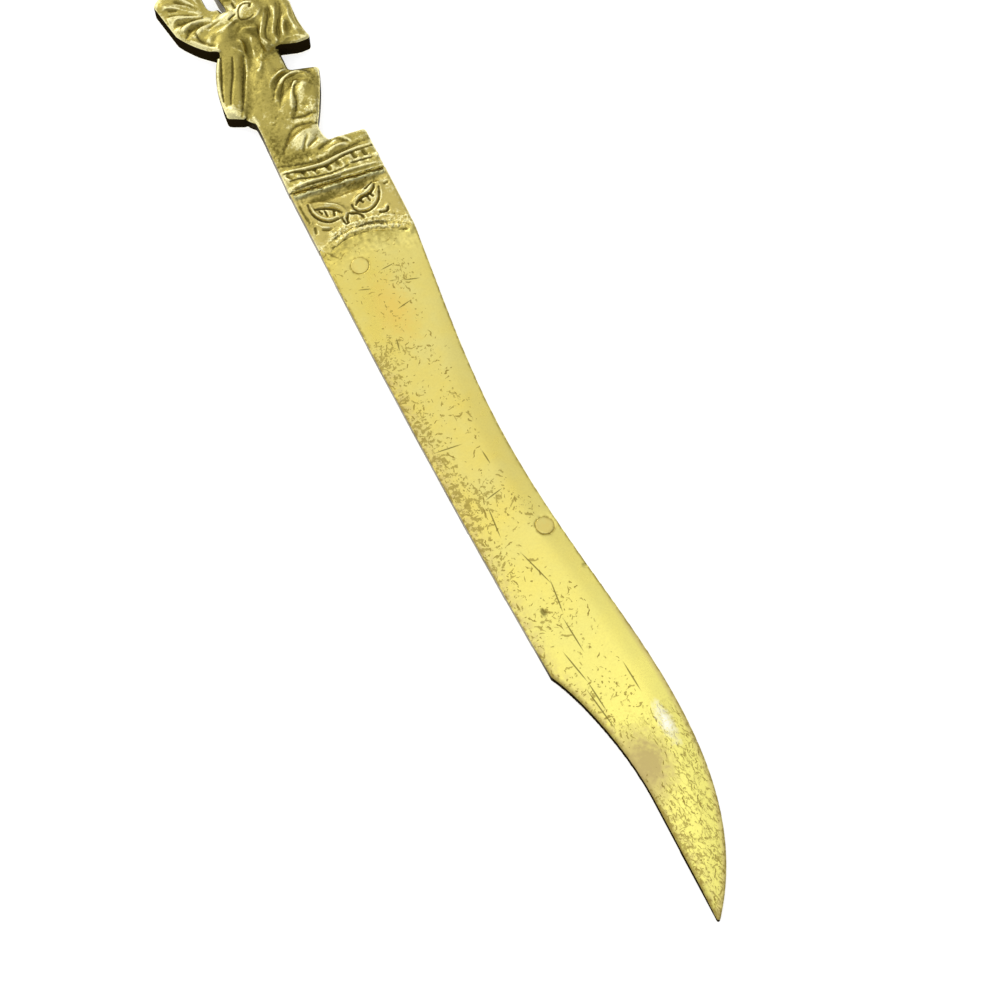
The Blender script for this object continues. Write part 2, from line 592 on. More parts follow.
def soft_casting(name, node, voxel, rounds, webs=()):
    """A CAD node cast over: webs cast full, remeshed to small even faces, with its edges worn soft."""
    piece = copy_of_node(name, node)
    for place, radius, height in webs:
        bpy.ops.object.select_all(action="DESELECT")
        bpy.ops.mesh.primitive_cylinder_add(
            radius=radius * MM, depth=height * MM, location=metres(place, height / 2)
        )
        piece.select_set(True)
        bpy.context.view_layer.objects.active = piece
        bpy.ops.object.join()
    finish_with(piece, "REMESH", mode="VOXEL", voxel_size=voxel * MM)
    smooth(piece, rounds)
    pick(piece)
    bpy.ops.object.shade_smooth()
    return piece


def rows_of(piece, field):
    """One row of three numbers for each of the piece's points, as an array."""
    flat = np.zeros(len(piece.data.vertices) * 3)
    piece.data.vertices.foreach_get(field, flat)
    return flat.reshape(-1, 3)


def places(piece):
    """Where the piece's points lie, in metres."""
    return rows_of(piece, "co")


def facings(piece):
    """The directions that the piece's points face."""
    return rows_of(piece, "normal")


def note(piece, name, values):
    """Stores one number for each point under a name that materials can read."""
    attribute = piece.data.attributes.new(name, "FLOAT", "POINT")
    attribute.data.foreach_set("value", np.asarray(values, dtype=np.float32))


def fade(values, start, end):
    """Values stretched to run from 0 at the start to 1 at the end, and held there."""
    return np.clip((values - start) / (end - start), 0, 1)


def walls_of(piece):
    """The piece's points on its upright walls, just above its back."""
    here = places(piece)
    low, high = WALL_SLICE
    return here[(here[:, 2] > low * MM) & (here[:, 2] < high * MM)]


def left_of_middle(walls):
    """Which points of the blade's walls lie left of its middle, millimetre by millimetre of its length."""
    rows = np.round(walls[:, 1] / MM)
    middles = {}
    for row in np.unique(rows):
        across = walls[rows == row, 0]
        middles[row] = (across.min() + across.max()) / 2
    return walls[:, 0] < np.array([middles[row] for row in rows])


def distance_from(walls, piece):
    """How far in from these walls each point of a piece lies, seen from above, in millimetres."""
    tree = kdtree.KDTree(len(walls))
    for number, (x, y) in enumerate(walls[:, :2]):
        tree.insert((x, y, 0), number)
    tree.balance()
    return np.array([tree.find((x, y, 0))[2] for x, y in places(piece)[:, :2]]) / MM


def calm(piece, weights, rounds):
    """Smooths a piece where the weights are high."""
    group = piece.vertex_groups.new(name="calm")
    for number, weight in enumerate(weights):
        group.add([number], float(weight), "REPLACE")
    smooth(piece, rounds, group.name)
    piece.vertex_groups.clear()


def middle_of(points, share):
    """What is left of a line of plan points when both its ends are cut back to a share of its length."""
    line = np.array(points)
    along = np.concatenate([[0], np.cumsum(np.linalg.norm(np.diff(line, axis=0), axis=1))])
    low = along[-1] * (1 - share) / 2
    high = along[-1] * (1 + share) / 2
    stops = [low, *along[(along > low) & (along < high)], high]
    return [(np.interp(stop, along, line[:, 0]), np.interp(stop, along, line[:, 1])) for stop in stops]


def stroke_wire(lines):
    """Smooth lines through plan points, as one wire held high above the face."""
    wires = []
    for points in lines:
        bpy.ops.object.select_all(action="DESELECT")
        bpy.ops.curve.primitive_bezier_curve_add()
        wire = bpy.context.object
        knots = wire.data.splines[0].bezier_points
        if len(points) > 2:
            knots.add(len(points) - 2)
        for knot, point in zip(knots, points):
            knot.handle_left_type = "AUTO"
            knot.handle_right_type = "AUTO"
            knot.co = metres(point, CARVING_CEILING)
        wire.data.resolution_u = WIRE_STEPS
        wires.append(wire)
    for wire in wires:
        wire.select_set(True)
    bpy.ops.object.join()
    bpy.ops.object.convert(target="MESH")
    return bpy.context.object


def weigh_near(piece, lines, reach, falloff):
    """Gives the piece a vertex group that is full along lines on its face and empty past their reach."""
    wire = stroke_wire(lines)
    finish_with(
        wire, "SHRINKWRAP", target=piece, wrap_method="PROJECT", use_project_z=True,
        use_positive_direction=False, use_negative_direction=True,
    )
    group = piece.vertex_groups.new(name="stroke")
    group.add(range(len(piece.data.vertices)), 1.0, "REPLACE")
    finish_with(
        piece, "VERTEX_WEIGHT_PROXIMITY", vertex_group=group.name, target=wire, proximity_mode="GEOMETRY",
        proximity_geometry={"EDGE"}, min_dist=reach * MM, max_dist=0, falloff_type=falloff,
    )
    bpy.data.objects.remove(wire)


def carve(piece, lines, stroke, falloff="SHARP"):
    """Raises or sinks the face along lines, in cuts that run out thin towards the ends."""
    reach, rise = stroke
    for length, width, depth in STROKE_CUTS:
        weigh_near(piece, [middle_of(points, length) for points in lines], reach * width, falloff)
        finish_with(
            piece, "DISPLACE", vertex_group="stroke", direction="Z", mid_level=0, strength=rise * depth * MM
        )
        piece.vertex_groups.clear()


def roughen(piece, lines, roughness):
    """Makes the face grainy near lines."""
    reach, rise, grain = roughness
    weigh_near(piece, lines, reach, "SMOOTH")
    texture = bpy.data.textures.new("grain", "CLOUDS")
    texture.noise_scale = grain * MM
    texture.noise_depth = 2
    finish_with(
        piece, "DISPLACE", vertex_group="stroke", texture=texture, texture_coords="LOCAL",
        direction="NORMAL", mid_level=0.5, strength=rise * MM,
    )
    piece.vertex_groups.clear()


def nearness(piece, lines, reach):
    """How near each point lies to lines on the face: 1 on them, 0 past their reach."""
    weigh_near(piece, lines, reach, "SMOOTH")
    weights = np.array([vertex.groups[0].weight for vertex in piece.data.vertices])
    piece.vertex_groups.clear()
    return weights


def dirt_along(piece, lines, dirt):
    """How dirty or worn each point is by lines on the face."""
    reach, strength = dirt
    return strength * nearness(piece, lines, reach)


def patch(piece, place, edge):
    """How full a soft oval patch is at each point: 1 in its middle, 0 outside."""
    (x, y), (half_width, half_length) = place
    here = places(piece) / MM
    far = np.hypot((here[:, 0] - x) / half_width, (here[:, 1] - y) / half_length)
    return fade(far, 1 + edge, 1 - edge)


def note_patina(piece, spots):
    """Notes as patina how much darker or brighter than the rest each point is."""
    note(piece, "patina", sum(amount * patch(piece, place, PATINA_EDGE) for place, amount in spots))


def mark_recesses(piece, scales):
    """Notes as recess how far each point lies below its smoothed surroundings: 0.5 is level."""
    here = places(piece)
    normals = facings(piece)
    level = np.full(len(here), 0.5)
    for rounds, depth in scales:
        smoother = piece.copy()
        smoother.data = piece.data.copy()
        bpy.context.scene.collection.objects.link(smoother)
        smooth(smoother, rounds)
        level += ((places(smoother) - here) * normals).sum(axis=1) / (depth * MM) * RECESS_GAIN
        bpy.data.objects.remove(smoother)
    note(piece, "recess", np.clip(level, 0, 1))


def press_flat(piece):
    """Presses what reaches below the flat back up into its plane."""
    pick(piece)
    bpy.ops.object.mode_set(mode="EDIT")
    bpy.ops.mesh.select_mode(type="VERT")
    bpy.ops.mesh.select_all(action="DESELECT")
    bpy.ops.object.mode_set(mode="OBJECT")
    for vertex in piece.data.vertices:
        vertex.select = vertex.co.z < 0
    bpy.ops.object.mode_set(mode="EDIT")
    bpy.ops.transform.resize(value=(1, 1, 0), center_override=(0, 0, 0))
    bpy.ops.object.mode_set(mode="OBJECT")


def hand_in(piece, node, material):
    """Flattens a piece's back, dresses it, and lets it stand for its CAD node on the part's one body."""
    press_flat(piece)
    piece.data.materials.append(material)
    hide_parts(node)
    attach(piece, "root")


def add_node(tree, kind, inputs=None, **settings):
    """Adds a node, sets its properties, and sets or links its inputs by name or number."""
    node = tree.nodes.new(kind)
    for name, value in settings.items():
        setattr(node, name, value)
    for key, value in (inputs or {}).items():
        if isinstance(value, bpy.types.NodeSocket):
            tree.links.new(value, node.inputs[key])
        else:
            node.inputs[key].default_value = value
    return node


def ramp(tree, factor, stops):
    """Colours along a factor, from (place, colour) stops."""
    node = add_node(tree, "ShaderNodeValToRGB", {"Fac": factor})
    elements = node.color_ramp.elements
    while len(elements) < len(stops):
        elements.new(1.0)
    for element, (place, colour) in zip(elements, stops):
        element.position = place
        element.color = (*colour, 1)
    return node.outputs["Color"]


def span(tree, value, low, high, to_low=0.0, to_high=1.0):
    """A value stretched from one range to another and held there."""
    inputs = {"Value": value, "From Min": low, "From Max": high, "To Min": to_low, "To Max": to_high}
    return add_node(tree, "ShaderNodeMapRange", inputs).outputs["Result"]


def sums(tree, operation, first, second=0.0):
    """One sum of one or two values."""
    return add_node(tree, "ShaderNodeMath", {0: first, 1: second}, operation=operation).outputs[0]


def plus(tree, first, second):
    """Two values added."""
    return sums(tree, "ADD", first, second)


def times(tree, first, second):
    """Two values multiplied."""
    return sums(tree, "MULTIPLY", first, second)


def larger(tree, first, second):
    """The larger of two values."""
    return sums(tree, "MAXIMUM", first, second)


def tint(tree, factor, first, second):
    """Mixes a colour into another by a factor."""
    colours = {6: first, 7: second}
    for key, colour in colours.items():
        if isinstance(colour, tuple):
            colours[key] = (*colour, 1)
    node = add_node(tree, "ShaderNodeMix", {0: factor, **colours}, data_type="RGBA")
    return node.outputs[2]


def noise(tree, where, size, detail=3.0):
    """Cloudy pattern whose lumps are about one size, in millimetres."""
    inputs = {"Vector": where, "Scale": 1 / (size * MM), "Detail": detail, "Roughness": 0.6}
    return add_node(tree, "ShaderNodeTexNoise", inputs).outputs["Fac"]


def sway(tree, pattern, amount):
    """A cloudy pattern stretched to run from minus to plus an amount."""
    return span(tree, pattern, *NOISE_RANGE, -amount, amount)


def mapped(tree, where, move=(0, 0, 0), turn=0.0, scale=(1, 1, 1)):
    """Coordinates scaled, turned in the plan and moved, in this order."""
    inputs = {"Vector": where, "Location": move, "Rotation": (0, 0, turn), "Scale": scale}
    return add_node(tree, "ShaderNodeMapping", inputs).outputs["Vector"]


def vectors(tree, operation, *inputs):
    """One sum of vectors: the node's outputs."""
    return add_node(tree, "ShaderNodeVectorMath", dict(enumerate(inputs)), operation=operation).outputs


def oval(tree, where, half_width, half_length, middle=(0, 0)):
    """How far out in an oval the coordinates lie, seen from above: 0 in its middle, 1 on its rim."""
    move = (-middle[0] / half_width, -middle[1] / half_length, 0)
    scale = (1 / (half_width * MM), 1 / (half_length * MM), 0)
    return vectors(tree, "LENGTH", mapped(tree, where, move, scale=scale))["Value"]


def spot(tree, where, place, ragged, edge):
    """A soft oval patch: 1 in its middle, 0 outside, with a rim made ragged by a pattern."""
    middle, half_sizes = place
    far = oval(tree, where, *half_sizes, middle)
    uneven = plus(tree, far, span(tree, ragged, 0.2, 0.8, -0.6, 0.6))
    return span(tree, uneven, 1.0 - edge, 1.0 + edge, 1.0, 0.0)


def scratch(tree, where, ends):
    """A straight scratch between two plan points: 1 on it, 0 beside it, thin at its ends."""
    first, last = Vector(ends[0]), Vector(ends[1])
    middle = (first + last) / 2
    turn = Vector((0, 1)).angle_signed(last - first)
    moved = mapped(tree, where, move=(-middle.x * MM, -middle.y * MM, 0))
    lined = mapped(tree, moved, turn=turn, scale=(1, 1, 0))
    far = oval(tree, lined, SCRATCH_HALF_WIDTH, (last - first).length / 2)
    return span(tree, far, 0.7, 1.1, 1.0, 0.0)


def crooked(tree, where):
    """Coordinates bent a little, so that straight strokes come out crooked."""
    inputs = {"Vector": where, "Scale": 1 / (BEND_SIZE * MM), "Detail": 2.0}
    bends = add_node(tree, "ShaderNodeTexNoise", inputs).outputs["Color"]
    return vectors(tree, "MULTIPLY_ADD", bends, (BEND * MM, BEND * MM, 0), where)["Vector"]


def dashes(tree, where, kind, crowd):
    """Short strokes, each turned its own way, more where they crowd: 1 on a stroke, 0 beside it."""
    turn, spacing, half_length, half_width, spread = kind
    flat = mapped(tree, where, turn=turn, scale=(1, 1, 0))
    inputs = {"Vector": flat, "Scale": 1 / (spacing * MM)}
    cell = add_node(tree, "ShaderNodeTexVoronoi", inputs, voronoi_dimensions="2D").outputs
    luck = add_node(tree, "ShaderNodeSeparateColor", {"Color": cell["Color"]}).outputs
    away = vectors(tree, "SUBTRACT", flat, cell["Position"])["Vector"]
    inputs = {"Vector": away, "Angle": span(tree, luck["Red"], 0, 1, -spread / 2, spread / 2)}
    lined = add_node(tree, "ShaderNodeVectorRotate", inputs, rotation_type="Z_AXIS").outputs["Vector"]
    far = oval(tree, lined, half_width, half_length)
    far = sums(tree, "DIVIDE", far, span(tree, luck["Green"], 0, 1, 0.5, 1.0))
    kept = span(tree, sums(tree, "SUBTRACT", crowd, luck["Blue"]), 0.0, 0.03)
    strength = times(tree, kept, span(tree, luck["Red"], 0, 1, 0.65, 1.0))
    return times(tree, span(tree, far, 0.75, 1.05, 1.0, 0.0), strength)


def new_paint(name):
    """An empty metal material: its tree, its shader and the piece's own coordinates."""
    material = bpy.data.materials.new(name)
    material.use_nodes = True
    tree = material.node_tree
    shader = tree.nodes["Principled BSDF"]
    shader.inputs["Metallic"].default_value = 1
    where = add_node(tree, "ShaderNodeTexCoord").outputs["Object"]
    return material, tree, shader, where


def noted(tree, name):
    """A number noted on the piece's points."""
    return add_node(tree, "ShaderNodeAttribute", attribute_name=name).outputs["Fac"]


def steepness(tree):
    """0 on faces that lie flat and 1 on upright walls."""
    normal = add_node(tree, "ShaderNodeNewGeometry").outputs["Normal"]
    upright = add_node(tree, "ShaderNodeSeparateXYZ", {0: normal}).outputs["Z"]
    return span(tree, sums(tree, "ABSOLUTE", upright), 0.2, 0.5, 1.0, 0.0)


def lengthwise(tree, where):
    """How far along the opener the coordinates lie."""
    return add_node(tree, "ShaderNodeSeparateXYZ", {0: where}).outputs["Y"]


def reached(tree, along, stretch, full=1.0):
    """0 where a stretch of the opener's length starts and full where it ends."""
    start, end = stretch
    return span(tree, along, start * MM, end * MM, 0.0, full)


def paint_walls(tree, shader, face, wall, black):
    """Colours the face, with brown walls that turn black and lose their shine."""
    sides = tint(tree, wall, face, EDGE_BROWN)
    tree.links.new(tint(tree, black, sides, BLACK_BROWN), shader.inputs["Base Color"])
    tree.links.new(span(tree, black, 0, 1, 1, 0), shader.inputs["Metallic"])
    shader.inputs["Specular IOR Level"].default_value = 0


def paint_dents(tree, shader, height, strength, depth):
    """Makes the face look dented by a pattern, as deep as this in millimetres."""
    inputs = {"Height": height, "Strength": strength, "Distance": depth * MM}
    bump = add_node(tree, "ShaderNodeBump", inputs)
    tree.links.new(bump.outputs["Normal"], shader.inputs["Normal"])


def cast_paint(name, worn, middle, dark, blackening=NO_BLACK):
    """Cast brass: dark patina in its recesses, worn bright on its crests, with walls that turn black."""
    material, tree, shader, where = new_paint(name)
    clouds = noise(tree, where, 3.0, 5.0)
    grain = noise(tree, where, 0.45, 5.0)
    stain = plus(tree, sway(tree, clouds, 0.14), sway(tree, grain, 0.14))
    dirt = plus(tree, plus(tree, noted(tree, "recess"), noted(tree, "patina")), stain)
    face = ramp(tree, dirt, [(0.22, worn), (0.44, middle), (0.58, middle), (0.9, dark)])
    face = tint(tree, span(tree, noted(tree, "smear"), 0.2, 0.8, 0.0, 0.6), face, SMEAR_GREEN)
    inked = plus(tree, noted(tree, "ink"), sway(tree, noise(tree, where, 0.7, 4.0), 0.35))
    face = tint(tree, span(tree, inked, 0.35, 0.75, 0.0, 0.85), face, INK_BROWN)

    wall = times(tree, steepness(tree), span(tree, noted(tree, "rim"), 0.5, 0.9, 1.0, 0.0))
    along = plus(tree, lengthwise(tree, where), sway(tree, clouds, BLACK_SWAY * MM))
    black = times(tree, wall, reached(tree, along, blackening))
    black = times(tree, black, span(tree, noted(tree, "bare"), 0, 1, 1, 0))
    paint_walls(tree, shader, face, wall, black)
    tree.links.new(span(tree, dirt, 0.3, 0.8, 0.24, 0.46), shader.inputs["Roughness"])
    dents = plus(tree, times(tree, grain, 0.5), noise(tree, where, 1.6, 2.0))
    paint_dents(tree, shader, dents, strength=0.7, depth=0.12)
    return material


def small_marks(tree, where, along, ragged, tarnish):
    """The blade's blotches and flecks, and the streaks and fine crazing at its tip."""
    patchy = span(tree, noise(tree, where, 4.5, 2.0), 0.36, 0.68, 0.02, 0.34)
    crowd = plus(tree, noted(tree, "crowd"), patchy)
    blotches = plus(tree, noise(tree, where, 1.0, 5.0), times(tree, crowd, 0.2))
    marks = span(tree, blotches, 0.68, 0.72, 0.0, 0.75)
    bent = crooked(tree, where)
    for kind in FLECK_KINDS:
        marks = larger(tree, marks, dashes(tree, bent, kind, crowd))
    marks = larger(tree, marks, dashes(tree, bent, TIP_STREAKS, noted(tree, "streaks")))

    drawn_out = mapped(tree, where, scale=(1, 1 / CRAZING_STRETCH, 1))
    veins = sums(tree, "ABSOLUTE", sums(tree, "SUBTRACT", noise(tree, drawn_out, 0.9), 0.5))
    crazing = times(tree, span(tree, veins, 0.01, 0.045, 0.8, 0.0), reached(tree, along, CRAZED_TIP))
    crazing = times(tree, crazing, span(tree, tarnish, 0.2, 0.6, 1.0, 0.0))
    return larger(tree, marks, times(tree, crazing, span(tree, ragged, 0.4, 0.55)))


def deep_marks(tree, where, ragged):
    """The blade's chips and long scratches."""
    scores = 0.0
    for place in CHIPS:
        scores = larger(tree, scores, spot(tree, where, place, ragged, 0.3))
    for ends in SCRATCHES:
        scores = larger(tree, scores, scratch(tree, where, ends))
    return scores


def blade_paint(name):
    """Polished brass gone dull: olive flecks, scratches, stains, a tarnished patch and a pale edge."""
    material, tree, shader, where = new_paint(name)
    along = lengthwise(tree, where)
    spine = noted(tree, "spine")
    edge = noted(tree, "edge")
    clouds = noise(tree, where, 9.0)
    ragged = noise(tree, where, 1.2, 5.0)
    fine = noise(tree, where, 0.35, 4.0)
    tarnish = spot(tree, where, TARNISH, ragged, 0.55)
    marks = small_marks(tree, where, along, ragged, tarnish)
    scores = deep_marks(tree, where, ragged)

    # Gold, pale along the edge and bright towards the tip
    gold = tint(tree, span(tree, clouds, 0.35, 0.65), BRIGHT_GOLD, PALE_GOLD)
    gold = tint(tree, span(tree, edge, 0.3, 5.0, 0.5, 0.0), gold, PALE_GOLD)
    gold = tint(tree, reached(tree, along, TOWARDS_TIP), gold, TIP_GOLD)
    gold = tint(tree, span(tree, fine, 0.4, 0.75, 0.0, 0.25), gold, MIDDLE_GOLD)

    # Wear along the spine, the edge and both rims
    worn_spine = times(tree, span(tree, spine, 0.4, 3.0, 0.7, 0.0), reached(tree, along, BELOW_ARCH))
    gold = tint(tree, times(tree, worn_spine, span(tree, ragged, 0.35, 0.6)), gold, TAN)
    worn_edge = times(tree, span(tree, edge, 0.5, 1.3, 0.6, 0.0), reached(tree, along, WORN_EDGE))
    gold = tint(tree, worn_edge, gold, TAN)
    lower = reached(tree, along, BLACK_SPINE)
    dark_spine = times(tree, span(tree, spine, 0.2, 1.0, 0.6, 0.0), lower)
    gold = tint(tree, dark_spine, gold, DARK_OLIVE)
    rim = span(tree, sums(tree, "MINIMUM", spine, edge), 0.15, 0.6, 0.8, 0.0)
    gold = tint(tree, times(tree, rim, span(tree, ragged, 0.42, 0.56)), gold, FLECK_OLIVE)

    # Swirls by the arch, the stain, the dull tip and the tarnish
    swirls = span(tree, noise(tree, where, 1.1, 4.0), 0.36, 0.58, 0.15, 1.0)
    gold = tint(tree, times(tree, noted(tree, "skirt"), swirls), gold, OLIVE_GOLD)
    stain = spot(tree, where, STAIN, ragged, 0.7)
    gold = tint(tree, times(tree, stain, 0.85), gold, ORANGE_GOLD)
    dull_tip = times(tree, reached(tree, along, DULL_TIP, 0.2), span(tree, ragged, 0.52, 0.62))
    gold = tint(tree, dull_tip, gold, DULL_GOLD)
    gold = tint(tree, times(tree, tarnish, 0.85), gold, TAN)

    # Marks, the white glint over them, and the walls
    gold = tint(tree, times(tree, marks, 0.95), gold, FLECK_OLIVE)
    gold = tint(tree, times(tree, scores, 0.8), gold, SCORE_OLIVE)
    glint = times(tree, spot(tree, where, GLINT, ragged, 0.8), span(tree, fine, 0.34, 0.46))
    gold = tint(tree, glint, gold, WHITE_GOLD)
    wall = steepness(tree)
    paint_walls(tree, shader, gold, wall, times(tree, wall, lower))

    marks = larger(tree, marks, scores)
    dull = plus(tree, span(tree, clouds, *NOISE_RANGE, 0.26, 0.34), times(tree, marks, 0.15))
    dull = plus(tree, dull, times(tree, tarnish, 0.25))
    tree.links.new(dull, shader.inputs["Roughness"])
    waves = span(tree, noise(tree, where, 4.0, 2.0), 0, 1, 0, 0.5)
    dents = sums(tree, "SUBTRACT", waves, times(tree, marks, 0.5))
    paint_dents(tree, shader, dents, strength=0.4, depth=0.08)
    return material


def plug_paint(name):
    """The plugs' brass, a little more orange than the blade's."""
    material, tree, shader, where = new_paint(name)
    clouds = noise(tree, where, 1.5, 4.0)
    gold = tint(tree, span(tree, clouds, 0.35, 0.7, 0.1, 0.5), PALE_GOLD, ORANGE_GOLD)
    rim = plus(tree, noted(tree, "radius"), sway(tree, clouds, 0.25))
    gold = tint(tree, span(tree, rim, 1.2, 1.8, 0.0, 0.5), gold, MIDDLE_GOLD)
    tree.links.new(gold, shader.inputs["Base Color"])
    tree.links.new(span(tree, clouds, *NOISE_RANGE, 0.28, 0.38), shader.inputs["Roughness"])
    return material


figure_brass = cast_paint("figure_brass", WORN_GOLD, OLIVE_GOLD, DARK_OLIVE, FIGURE_BLACK)
block_brass = cast_paint("block_brass", WORN_GOLD, MIDDLE_GOLD, DARK_OLIVE)
arch_brass = cast_paint("arch_brass", WORN_GOLD, ARCH_GOLD, DARK_OLIVE)
seam_brass = cast_paint("seam_brass", MIDDLE_GOLD, OLIVE_GOLD, SEAM_BLACK)
blade_brass = blade_paint("blade_brass")
plug_brass = plug_paint("plug_brass")


def calm_figure(figure, rim):
    """Smooths the figure inside its rim: the head least, the back lock and the melted steps most."""
    x, y, _ = places(figure).T / MM
    inside = fade(rim, *FIGURE_INSIDE)
    head = fade(x, *HEAD_LEFT) * fade(y, *HEAD_FOOT)
    calm(figure, inside * (1 - HEAD_KEPT * head), FIGURE_CALM)
    lock = fade(x, *LOCK_RIGHT) * fade(y, *LOCK_TOP)
    calm(figure, inside * lock * fade(y, *LOCK_FOOT), LOCK_CALM)
    calm(figure, inside * nearness(figure, MELTED_STEPS, MELTED_REACH), STEP_CALM)


def make_figure():
    """The cast figure: the CAD solid worn soft, then carved."""
    figure = soft_casting("figure", "handle_figure", FIGURE_VOXEL, FIGURE_WEAR, FIGURE_WEBS)
    carve(figure, FIGURE_SLOPES, SLOPE, "SMOOTH")
    carve(figure, [BEARD_HEM], HEM_CUT, "SMOOTH")
    rim = distance_from(walls_of(figure), figure)
    note(figure, "rim", rim)
    note(figure, "bare", patch(figure, NOTCH_SIDE, NOTCH_EDGE))
    note_patina(figure, FIGURE_PATINA)
    calm_figure(figure, rim)
    carve(figure, FIGURE_SWELLS, SWELL, "SMOOTH")
    carve(figure, FIGURE_HOLLOWS, HOLLOW, "SMOOTH")
    carve(figure, FIGURE_CHANNELS, CHANNEL)
    carve(figure, FIGURE_CRESTS, CREST)
    carve(figure, FIGURE_CREASES + DIRTY_CREASES, CREASE)
    carve(figure, BASE_CHANNELS, CHANNEL)
    carve(figure, BASE_CRESTS, BASE_CREST)
    carve(figure, BASE_CREASES, BASE_CREASE)
    carve(figure, STUD_GAPS, STUD_GAP, "SMOOTH")
    roughen(figure, ROUGH_LINES, ROUGH_CAST)
    roughen(figure, CHEST_LINES, ROUGH_CHEST)
    roughen(figure, BASE_CRESTS[-1:], ROUGH_BAND)
    smooth(figure, 1)
    thin_dirt = dirt_along(figure, DIRTY_CREASES + BASE_CREASES + SEAM_DIRT, THIN_DIRT)
    broad_dirt = dirt_along(figure, FIGURE_CHANNELS + BASE_CHANNELS, BROAD_DIRT)
    note(figure, "ink", np.maximum(thin_dirt, broad_dirt))
    mark_recesses(figure, FIGURE_RECESSES)
    finish_with(figure, "DECIMATE", ratio=FIGURE_SHARE)
    hand_in(figure, "handle_figure", figure_brass)


def make_block():
    """The carved block between the figure and the blade."""
    block = soft_casting("carved_block", "bolster", BLOCK_VOXEL, BLOCK_WEAR)
    calm(block, fade(facings(block)[:, 2], *BLOCK_TOP), BLOCK_CALM)
    carve(block, BLOCK_CHANNELS, BLOCK_CHANNEL, "SMOOTH")
    carve(block, [BLOCK_BROW], BROW_RIDGE)
    carve(block, BLOCK_CRESTS, BLOCK_CREST)
    carve(block, LEAF_RIMS, LEAF_RIM, "SMOOTH")
    carve(block, BLOCK_CREASES, LEAF_VEIN, "SMOOTH")
    carve(block, SIDE_CREASES, SIDE_CREASE, "SMOOTH")
    roughen(block, [ARCH_CREST], ROUGH_CREST)
    roughen(block, [BLOCK_BROW], ROUGH_BROW)
    smooth(block, 1)
    note(block, "ink", dirt_along(block, LEAF_RIMS + BLOCK_CREASES, LEAF_DIRT))
    note(block, "smear", dirt_along(block, [BLOCK_BROW], BROW_SMEAR))
    note_patina(block, BLOCK_PATINA)
    mark_recesses(block, BLOCK_RECESSES)
    hand_in(block, "bolster", block_brass)


def note_flecks(blade, spine, edge):
    """Notes where flecks crowd: in clusters, along the spine and at the tip, but not on the tarnish."""
    along = places(blade)[:, 1] / MM
    tip = fade(along, *FLECKED_TIP)
    tarnish = TARNISH_CROWD * patch(blade, TARNISH, TARNISH_EDGE)
    crowd = SPINE_CROWD * fade(spine, *SPINE_SIDE) * fade(along, *BELOW_ARCH)
    crowd += TIP_CROWD * tip + CLEANER_CROWD * fade(along, *CLEANER_HALF)
    crowd += EDGE_CROWD * fade(edge, *EDGE_SIDE) * (1 - TIP_TAKES_BACK * tip) + tarnish
    crowd += CLUSTER_CROWD * sum(patch(blade, place, CLUSTER_EDGE) for place in FLECK_CLUSTERS)
    note(blade, "crowd", crowd)
    note(blade, "streaks", STREAK_CROWD * tip + tarnish)


def make_blade():
    """The sabre blade: its rims and its bevel's shoulder rounded by wear, hammered near the arch."""
    blade = soft_casting("sabre_blade", "blade", BLADE_VOXEL, BLADE_WEAR)
    walls = walls_of(blade)
    calm(blade, fade(distance_from(walls, blade), *BLADE_INSIDE), BLADE_CALM)
    carve(blade, EDGE_NICKS, EDGE_NICK)
    carve(blade, [BEAD_EDGE], BEAD_LIP, "SMOOTH")
    carve(blade, BEAD_ENDS, BEAD_TAPER, "SMOOTH")
    roughen(blade, [ARCH_SKIRT, ARCH_BEAD], HAMMERED_BLADE)
    smooth(blade, 1)
    left = left_of_middle(walls)
    spine = distance_from(walls[left], blade)
    edge = distance_from(walls[~left], blade)
    note(blade, "spine", spine)
    note(blade, "edge", edge)
    note(blade, "skirt", dirt_along(blade, [BEAD_EDGE[1:-1]], SKIRT_STAIN))
    note_flecks(blade, spine, edge)
    hand_in(blade, "blade", blade_brass)


def make_plug(node):
    """One flush plug, worn soft and swelled back to its size."""
    plug = soft_casting(node + "_face", node, PLUG_VOXEL, PLUG_WEAR)
    swell(plug, PLUG_SWELL)
    here = places(plug)
    note(plug, "radius", np.linalg.norm((here - here.mean(axis=0))[:, :2], axis=1) / MM)
    hand_in(plug, node, plug_brass)


def make_seam():
    """The ragged braze in the seam under the figure."""
    seam = soft_casting("upper_braze_bead", "upper_braze", BRAZE_VOXEL, SEAM_WEAR)
    roughen(seam, [SEAM_LINE], ROUGH_SEAM)
    note(seam, "ink", dirt_along(seam, SEAM_DIRT, SEAM_INK))
    mark_recesses(seam, BRAZE_RECESSES)
    hand_in(seam, "upper_braze", seam_brass)


def make_bead():
    """The hammered braze bead along the bolster's arch."""
    bead = soft_casting("lower_braze_bead", "lower_braze", BRAZE_VOXEL, BEAD_WEAR)
    swell(bead, BEAD_SWELL)
    carve(bead, [ARCH_CREASE], BEAD_CREASE)
    carve(bead, [ARCH_RIDGE], BEAD_RIDGE, "SMOOTH")
    roughen(bead, [ARCH_BEAD, ARCH_SKIRT], HAMMERED_BEAD)
    smooth(bead, 2)
    crevice = dirt_along(bead, [ARCH_CREVICE], CREVICE_DIRT)
    crease = dirt_along(bead, [ARCH_CREASE], CREASE_DIRT)
    note(bead, "ink", np.maximum(crevice, crease))
    foot = dirt_along(bead, [ARCH_FOOT], FOOT_DIRT)
    ridge = dirt_along(bead, [ARCH_RIDGE], RIDGE_WEAR)
    note(bead, "patina", foot + ridge)
    mark_recesses(bead, BRAZE_RECESSES)
    hand_in(bead, "lower_braze", arch_brass)


